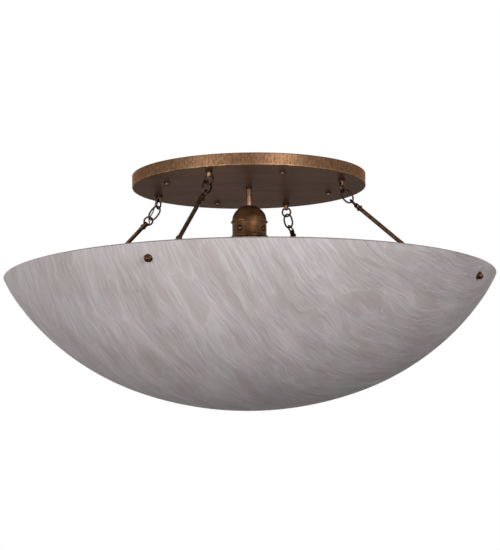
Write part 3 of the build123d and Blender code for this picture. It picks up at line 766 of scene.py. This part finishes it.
def wall(length, inset):
    """Radius, height and slope of the wall at a length from the rim, moved inwards.

    The wall is four arcs end to end: centre plus (bend - inset) times (sin, -cos) of the
    slope, and the slope falls along each arc by length over bend. The last value is the
    whole length from rim to pole.
    """
    radius, height = BOWL_R, RIM_Z - RIM_BEVEL
    out_r, out_z, slope = (np.zeros_like(length) for _ in range(3))
    passed = 0.0
    for number, (steep, flat) in enumerate(zip(SLOPES, SLOPES[1:])):
        bend = BENDS[number] if number < len(BENDS) else radius / np.sin(steep)
        centre_r, centre_z = radius - bend * np.sin(steep), height + bend * np.cos(steep)
        here = length >= passed - 1e-12
        lean = np.maximum(steep - (length - passed) / bend, 0.0)
        out_r = np.where(here, centre_r + (bend - inset) * np.sin(lean), out_r)
        out_z = np.where(here, centre_z - (bend - inset) * np.cos(lean), out_z)
        slope = np.where(here, lean, slope)
        passed += bend * (steep - flat)
        radius, height = centre_r + bend * np.sin(flat), centre_z - bend * np.cos(flat)
    return out_r, out_z, slope, passed


def bowl_surface(name, around=288, steps=72):
    """Bowl's skin: outer wall from the pole to the rim, the lip, and the inner wall back.

    Its UV map is the flat sheet before slumping: the point at arc length s from the pole
    and angle a has the sheet place (s cos a, s sin a), in metres.
    """
    total = wall(np.zeros(1), 0.0)[3]
    length = np.linspace(total, 0, steps)
    outer_r, outer_z, _, _ = wall(length, 0.0)
    inner_r, inner_z, _, _ = wall(length[::-1], BOWL_WALL)
    outer_r[0] = inner_r[-1] = 0.0
    lip_r = [outer_r[-1] - 0.35 * RIM_BEVEL, outer_r[-1] - RIM_BEVEL]
    lip_r += [inner_r[0] + RIM_BEVEL, inner_r[0] + 0.35 * RIM_BEVEL]
    lip_z = [RIM_Z - 0.35 * RIM_BEVEL, RIM_Z, RIM_Z, RIM_Z - 0.35 * RIM_BEVEL]
    profile = np.column_stack(
        [np.concatenate([outer_r, lip_r, inner_r]), np.concatenate([outer_z, lip_z, inner_z])]
    )
    thing = lathe(name, profile, around, crease=50.0)
    mesh = thing.data
    points = np.zeros(len(mesh.vertices) * 3)
    mesh.vertices.foreach_get("co", points)
    points = points.reshape(-1, 3)
    flat = np.hypot(points[:, 0], points[:, 1])
    order = np.argsort(outer_r)
    sheet = np.interp(flat, outer_r[order], (total - length)[order])
    scale = np.where(flat > 1e-9, sheet / np.maximum(flat, 1e-9), 0.0)
    place = points[:, :2] * scale[:, None]
    corner = np.zeros(len(mesh.loops), np.int32)
    mesh.loops.foreach_get("vertex_index", corner)
    layer = mesh.uv_layers.new(name="sheet")
    layer.data.foreach_set("uv", place[corner].astype(np.float32).ravel())
    return thing


def stone_acrylic(name):
    """Warm grey acrylic with pale fibres that drift across the sheet, round smooth islands.

    The sheet place is bent by a slow noise and turned by FLOW, to read as (along, across).
    Fibres are noise that is slow along and quick across; islands are where a coarser noise
    passes a level, and their rims are pale.
    """
    material = bpy.data.materials.new(name)
    material.use_nodes = True
    tree = material.node_tree
    shader = tree.nodes["Principled BSDF"]
    shader.inputs["Roughness"].default_value = 0.62
    shader.inputs["Specular IOR Level"].default_value = 0.16
    sheet = tree.nodes.new("ShaderNodeUVMap")
    sheet.uv_map = "sheet"

    def feed(value, socket):
        """Set a socket to a number or a tuple, or link an output to it."""
        if isinstance(value, (int, float, tuple)):
            socket.default_value = value
        else:
            tree.links.new(value, socket)

    def sum_up(kind, *values, held=False):
        """Math node of a kind; held keeps the result from 0 to 1."""
        node = tree.nodes.new("ShaderNodeMath")
        node.operation = kind
        node.use_clamp = held
        for socket, value in zip(node.inputs, values):
            feed(value, socket)
        return node.outputs["Value"]

    def vector(kind, *values):
        """Vector math node of a kind."""
        node = tree.nodes.new("ShaderNodeVectorMath")
        node.operation = kind
        for socket, value in zip(node.inputs, values):
            feed(value, socket)
        return node.outputs["Vector"]

    def noise(place, along, across, shift, detail, rough=0.55):
        """Noise with that many patches per metre along and across."""
        lay = tree.nodes.new("ShaderNodeMapping")
        lay.inputs["Scale"].default_value = (along, across, 1.0)
        lay.inputs["Location"].default_value = (shift, 1.7 * shift, 0.0)
        node = tree.nodes.new("ShaderNodeTexNoise")
        node.noise_dimensions = "2D"
        node.inputs["Scale"].default_value = 1.0
        node.inputs["Detail"].default_value = detail
        node.inputs["Roughness"].default_value = rough
        feed(place, lay.inputs["Vector"])
        feed(lay.outputs["Vector"], node.inputs["Vector"])
        return node.outputs

    def pushed(place, by, reach):
        """Place moved by a noise colour about its middle, as far as reach."""
        middle = vector("SUBTRACT", by["Color"], (0.5, 0.5, 0.5))
        return vector("MULTIPLY_ADD", middle, reach, place)

    def multiplied(base, by, amount):
        """Colour times another one, by an amount from 0 to 1."""
        node = tree.nodes.new("ShaderNodeMix")
        node.data_type = "RGBA"
        node.blend_type = "MULTIPLY"
        feed(amount, node.inputs["Factor"])
        feed(base, node.inputs["A"])
        feed(by, node.inputs["B"])
        return node.outputs["Result"]

    # Place on the flowing sheet
    slow = noise(sheet.outputs["UV"], 3.0, 3.0, shift=4.0, detail=1.0)
    drifted = pushed(sheet.outputs["UV"], slow, (0.07, 0.07, 0.0))
    turned = tree.nodes.new("ShaderNodeMapping")
    turned.inputs["Rotation"].default_value = (0, 0, -np.radians(FLOW))
    feed(drifted, turned.inputs["Vector"])
    flow = turned.outputs["Vector"]
    eddy = noise(flow, 7.0, 14.0, shift=2.0, detail=2.0)
    swirled = pushed(flow, eddy, (0.05, 0.026, 0.0))
    ripple = noise(swirled, 24.0, 60.0, shift=5.0, detail=1.0)
    frayed = pushed(swirled, ripple, (0.02, 0.0055, 0.0))

    # Islands with pale rims, and the fibres that fade inside them
    lumps = noise(swirled, 8.0, 30.0, shift=9.0, detail=1.0, rough=0.45)["Fac"]
    over = sum_up("SUBTRACT", lumps, ISLAND_LEVEL)
    island = sum_up("MULTIPLY", over, 14.0, held=True)
    near_rim = sum_up("MULTIPLY", sum_up("ABSOLUTE", over), 45.0)
    rim = sum_up("SUBTRACT", 1.0, near_rim, held=True)
    keep = sum_up("SUBTRACT", 1.0, sum_up("MULTIPLY", island, 0.45))
    fine = noise(frayed, 15.0, 290.0, shift=1.0, detail=3.0, rough=0.78)["Fac"]
    strand = noise(frayed, 6.5, 95.0, shift=3.0, detail=2.0)["Fac"]
    streak = noise(frayed, 4.5, 34.0, shift=6.0, detail=2.0)["Fac"]
    cloud = noise(flow, 7.0, 12.0, shift=7.0, detail=3.0)["Fac"]
    tone = 0.5
    for layer, weight in ((fine, 0.46), (strand, 0.14), (streak, 0.16)):
        part = sum_up("MULTIPLY", sum_up("SUBTRACT", layer, 0.5), weight)
        tone = sum_up("ADD", sum_up("MULTIPLY", part, keep), tone)
    tone = sum_up("MULTIPLY_ADD", sum_up("SUBTRACT", cloud, 0.5), 0.23, tone)
    tone = sum_up("MULTIPLY_ADD", rim, 0.05, tone)
    tone = sum_up("MULTIPLY_ADD", island, -0.03, tone)

    # Grey of the fibres, warmer in the islands, and a slow drift from pinkish to greenish
    grey = ramp_between(tree, tone, 0.34, colour(170, 161, 160), 0.66, colour(212, 208, 210))
    warm = multiplied(grey, (0.98, 0.96, 0.95, 1.0), sum_up("MULTIPLY", island, 0.7))
    drift = noise(flow, 5.0, 13.0, shift=11.0, detail=2.0)["Fac"]
    pinkish, greenish = (1.0, 0.965, 0.968, 1.0), (0.996, 0.99, 0.982, 1.0)
    hue = ramp_between(tree, drift, 0.36, pinkish, 0.64, greenish)
    feed(multiplied(warm, hue, 1.0), shader.inputs["Base Color"])
    return material


bowl = bowl_surface("slumped_bowl")
place_piece(bowl, stone_acrylic("stone_acrylic"), "bowl_unit", "faux_alabaster", "bowl")
sawn = plain("sawn_acrylic_edge", colour(128, 120, 114), 0.6)
paint(bowl, middles(bowl)[:, 2] > RIM_Z - RIM_BEVEL, sawn)

# Knobs: domed bronze nuts with thin washers on the bowl's outside, each clamping the wall
# to the strap behind it through a soft black pad. Heights in the profiles are measured
# out from the wall.
KNOB_DROP = 0.028
KNOB_R = 0.0068
KNOB_CROWN = 0.0058
KNOB_STUD_R = 0.003
KNOB_STUD_L = 0.0145
WASHER_R = 0.0074
WASHER_T = 0.0012
WASHER_HOLE_R = 0.0031
seat_r, seat_z, seat_lean = (float(value[0]) for value in wall(np.array([KNOB_DROP]), 0.0)[:3])
knob_turn = Matrix.Rotation(np.pi - seat_lean, 4, "Y")
spots = on_arms(Matrix.Translation((seat_r, 0, seat_z)) @ knob_turn)
crown = rounded(0, 90, 0.86 * KNOB_R, KNOB_CROWN, 9) + [0, 0.0040]
knob_profile = [
    (0, -KNOB_STUD_L),
    (KNOB_STUD_R, -KNOB_STUD_L),
    (KNOB_STUD_R, 0.0011),
    (KNOB_R, 0.0011),
    (KNOB_R, 0.0030),
    (0.92 * KNOB_R, 0.0035),
    *crown.tolist(),
]
knobs = lathe("domed_knobs", knob_profile, 32, spots)
place_piece(knobs, bronze, "bowl_unit", "dark_bronze", "bowl_knobs")
washer_profile = [
    (WASHER_HOLE_R, -WASHER_T / 2),
    (WASHER_R - 0.0001, -WASHER_T / 2),
    (WASHER_R, WASHER_T - 0.0002),
    (WASHER_R - 0.0002, WASHER_T),
    (WASHER_HOLE_R, WASHER_T),
]
washers = lathe("knob_washer_discs", washer_profile, 32, spots)
place_piece(washers, bronze, "bowl_unit", "dark_bronze", "knob_washers")

# Lead: a thin black cable on the left arm, from a rubber bush in the pan, past the chain
# and through its last ring, into the side of the rod. The route is in millimetres.
LEAD_R = 0.0011
LEAD_ROUTE_MM = [
    (187.0, 11.8, -16.8),
    (187.0, 11.8, -34.0),
    (191.1, 9.4, -46.0),
    (196.8, 5.9, -55.3),
    (203.2, 5.5, -63.5),
    (206.4, 2.3, -68.0),
    (207.8, -4.1, -70.2),
    (212.0, -8.0, -73.8),
    (219.9, -8.2, -80.4),
    (227.9, -6.0, -86.0),
    (230.3, -1.5, -89.6),
]
rubber = plain("black_rubber", colour(20, 19, 19), 0.55)
dress(rubber, "foot_pads", "lead_bush")


def cable(name, route, radius, angle, steps=220, sides=16):
    """Round cable along a route: a Catmull-Rom curve through it, with rings square to it."""
    ends = np.vstack([2 * route[0] - route[1], route, 2 * route[-1] - route[-2]])
    t = np.linspace(0, len(route) - 1 - 1e-9, steps)
    leg = t.astype(int)
    u = (t - leg)[:, None]
    p0, p1, p2, p3 = (ends[leg + k] for k in range(4))
    middle = 0.5 * (
        2 * p1 + (p2 - p0) * u + (2 * p0 - 5 * p1 + 4 * p2 - p3) * u**2
        + (3 * p1 - p0 - 3 * p2 + p3) * u**3
    )
    ahead = np.gradient(middle, axis=0)
    ahead /= np.linalg.norm(ahead, axis=1)[:, None]
    side = np.cross(ahead, [0.3, 0.9, 0.2])
    side /= np.linalg.norm(side, axis=1)[:, None]
    ring = wire_ring(side, np.cross(side, ahead), sides)
    points = (middle[:, None, :] + radius * ring).reshape(-1, 3)
    grid = np.arange(steps * sides).reshape(steps, sides)
    a, b = grid[:-1], grid[1:]
    faces = np.stack([a, np.roll(a, -1, 1), np.roll(b, -1, 1), b], -1).reshape(-1, 4).tolist()
    faces += [grid[0][::-1].tolist(), grid[-1].tolist()]
    return smooth_piece(name, on_arm(points, angle), faces)


lead_route = np.array(LEAD_ROUTE_MM) / 1000
lead = cable("black_lead", lead_route, LEAD_R, ARMS["a"])
lead.data.materials.append(rubber)
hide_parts("arm_lead")
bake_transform(lead)

# Room: a plain pale floor well below the light, soft white lamps in front and behind, a
# pale surround, and the camera at the photograph's place below the light.
FLOOR_Z = -3.8
FLOOR_HALF = 20.0
FLOOR_GLOW = 0.62
AIM = (0, 0, -0.28)
AMBIENT = 0.08
CAMERA_PLACE = (0, -4.4734, -0.8795)
CAMERA_LIFT = 0.1534
CAMERA_ROLL = -0.0122
FOCAL_PIXELS = 2430.4
PHOTO_HEIGHT = 550
SENSOR = 36
corners = [(-1, -1), (1, -1), (1, 1), (-1, 1)]
floor_points = [(x * FLOOR_HALF, y * FLOOR_HALF, FLOOR_Z) for x, y in corners]
floor_mesh = bpy.data.meshes.new("floor")
floor_mesh.from_pydata(floor_points, [], [(0, 1, 2, 3)])
floor = bpy.data.objects.new("floor", floor_mesh)
bpy.context.scene.collection.objects.link(floor)
pale = plain("pale_floor", colour(205, 205, 205), 0.8)
tree = pale.node_tree
pale_shader = tree.nodes["Principled BSDF"]
pale_shader.inputs["Emission Color"].default_value = (1, 1, 1, 1)
path = tree.nodes.new("ShaderNodeLightPath")
glow = tree.nodes.new("ShaderNodeMath")
glow.operation = "MULTIPLY"
glow.inputs[1].default_value = FLOOR_GLOW
tree.links.new(path.outputs["Is Camera Ray"], glow.inputs[0])
tree.links.new(glow.outputs["Value"], pale_shader.inputs["Emission Strength"])
floor_mesh.materials.append(pale)


def soft_lamp(name, place, size, power):
    """Square area lamp at a place, aimed at the light's middle."""
    light = bpy.data.lights.new(name, "AREA")
    light.size = size
    light.energy = power
    lamp = bpy.data.objects.new(name, light)
    bpy.context.scene.collection.objects.link(lamp)
    lamp.location = place
    lamp.visible_camera = False
    lamp.rotation_mode = "QUATERNION"
    lamp.rotation_quaternion = (Vector(AIM) - Vector(place)).to_track_quat("-Z", "Y")


soft_lamp("left_box", (-2.24, -2.80, -0.42), size=2.2, power=80)
soft_lamp("right_box", (1.86, -3.06, 0.16), size=1.2, power=69)
soft_lamp("back_box", (0.2, 4.1, 1.3), size=1.8, power=125)

world = bpy.data.worlds.new("surround")
bpy.context.scene.world = world
world.use_nodes = True
tree = world.node_tree
dim = tree.nodes["Background"]
dim.inputs["Color"].default_value = (1, 0.88, 0.85, 1)
dim.inputs["Strength"].default_value = AMBIENT
bright = tree.nodes.new("ShaderNodeBackground")
bright.inputs["Color"].default_value = (1, 1, 1, 1)
bright.inputs["Strength"].default_value = 1.0
path = tree.nodes.new("ShaderNodeLightPath")
seen = tree.nodes.new("ShaderNodeMath")
seen.operation = "MAXIMUM"
mirrored = tree.nodes.new("ShaderNodeMath")
mirrored.operation = "MAXIMUM"
choose = tree.nodes.new("ShaderNodeMixShader")
tree.links.new(path.outputs["Is Camera Ray"], seen.inputs[0])
tree.links.new(path.outputs["Is Glossy Ray"], mirrored.inputs[0])
tree.links.new(path.outputs["Is Transmission Ray"], mirrored.inputs[1])
tree.links.new(mirrored.outputs["Value"], seen.inputs[1])
tree.links.new(seen.outputs["Value"], choose.inputs["Fac"])
tree.links.new(dim.outputs["Background"], choose.inputs[1])
tree.links.new(bright.outputs["Background"], choose.inputs[2])
tree.links.new(choose.outputs["Shader"], tree.nodes["World Output"].inputs["Surface"])

view = bpy.data.cameras.new("view")
view.sensor_width = SENSOR
view.lens = FOCAL_PIXELS * SENSOR / PHOTO_HEIGHT
view.clip_end = 50
camera = bpy.data.objects.new("view", view)
bpy.context.scene.collection.objects.link(camera)
ahead = Vector((0, np.cos(CAMERA_LIFT), np.sin(CAMERA_LIFT)))
right = Vector((1, 0, 0))
above = right.cross(ahead)
x_axis = right * np.cos(CAMERA_ROLL) + above * np.sin(CAMERA_ROLL)
y_axis = above * np.cos(CAMERA_ROLL) - right * np.sin(CAMERA_ROLL)
camera.rotation_mode = "QUATERNION"
camera.rotation_quaternion = Matrix((x_axis, y_axis, -ahead)).transposed().to_quaternion()
camera.location = CAMERA_PLACE
bpy.context.scene.camera = camera
bpy.context.scene.view_settings.view_transform = "Standard"
